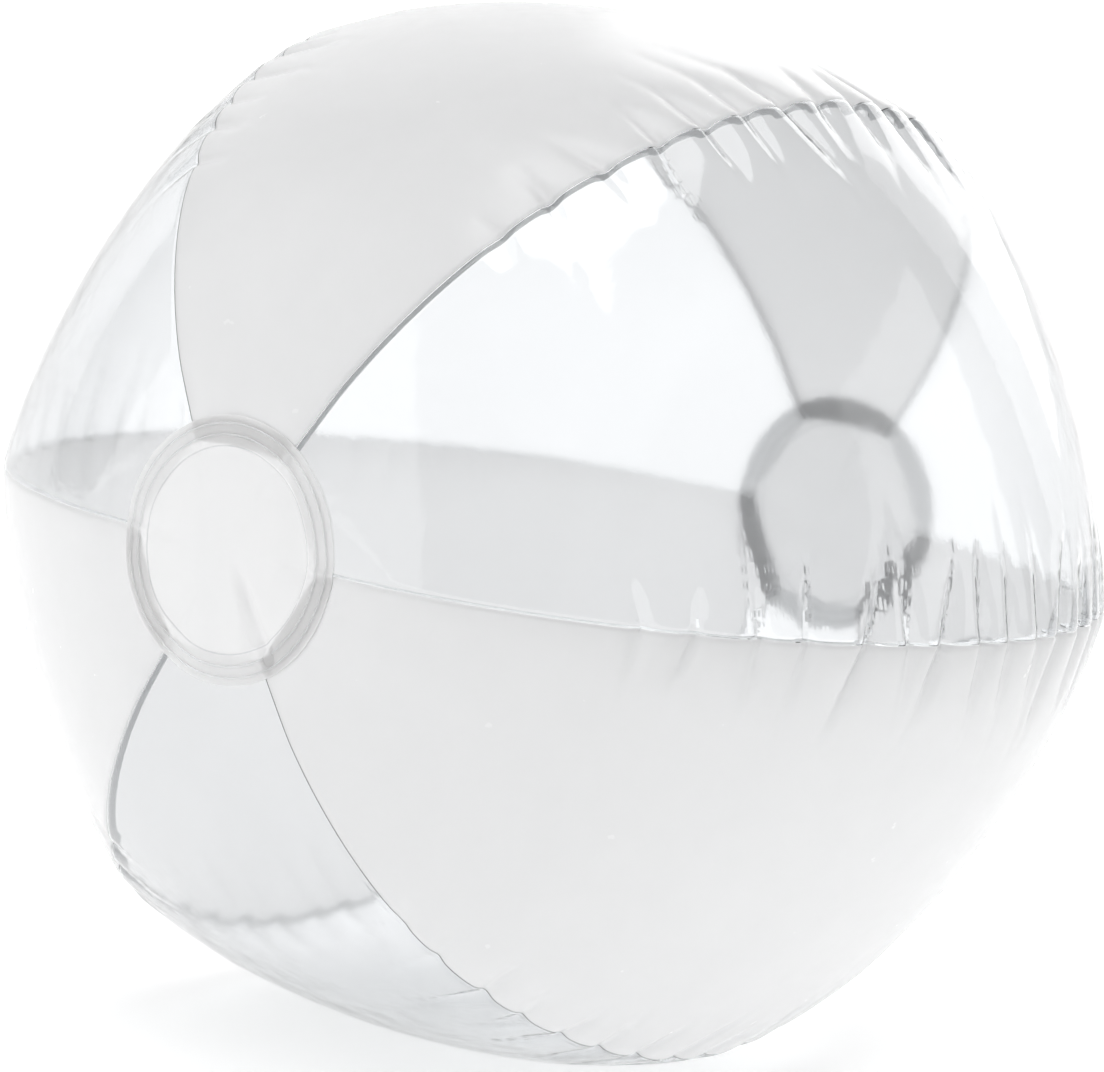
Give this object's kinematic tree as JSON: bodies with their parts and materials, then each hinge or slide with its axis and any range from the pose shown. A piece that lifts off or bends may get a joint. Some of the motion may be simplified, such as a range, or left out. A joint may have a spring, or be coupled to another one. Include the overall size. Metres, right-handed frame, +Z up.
{
  "type": "inflatable beach ball",
  "caption": "Inflatable ball of alternating opaque white and clear film panels, closed by a disc at each pole, with a push-in plug valve.",
  "frame": {"origin": "centre of the ball", "axes": "+Z up with the ball lying on its bottom clear panel; the polar axis is Y, with the front disc at -Y; +X to the right of someone facing the front disc"},
  "size_m": [0.28, 0.2584, 0.264],
  "materials": {
    "white_film": "glossy white soft PVC film",
    "clear_film": "clear soft PVC film",
    "disc_film": "glossy white soft PVC film, slightly translucent, with pressed weld rings",
    "valve_pvc": "moulded soft white PVC, satin"
  },
  "bodies": {
    "ball": {"top_white_panel": "white_film", "right_clear_panel": "clear_film", "valve_white_panel": "white_film", "bottom_clear_panel": "clear_film", "left_white_panel": "white_film", "upper_left_clear_panel": "clear_film", "front_disc": "disc_film", "rear_disc": "disc_film", "valve_base": "valve_pvc"},
    "stem": {"valve_stem": "valve_pvc"},
    "plug": {"valve_plug": "valve_pvc", "plug_strap": "valve_pvc"},
    "flap": {"non_return_flap": "valve_pvc"}
  },
  "joints": [
    {"name": "stem_slide", "type": "slide", "parent": "ball", "child": "stem", "axis": [0.4066, 0.8829, -0.2347], "range_m": [0, 0.014]},
    {"name": "plug_pull", "type": "slide", "parent": "stem", "child": "plug", "axis": [0.4066, 0.8829, -0.2347], "range_m": [0, 0.009]},
    {"name": "flap_hinge", "type": "hinge", "parent": "stem", "child": "flap", "pos_m": [0.05619, 0.10075, -0.03244], "axis": [0.5, 0, 0.866], "range_deg": [0, 40], "stiffness_Nm_per_rad": 0.0002}
  ]
}
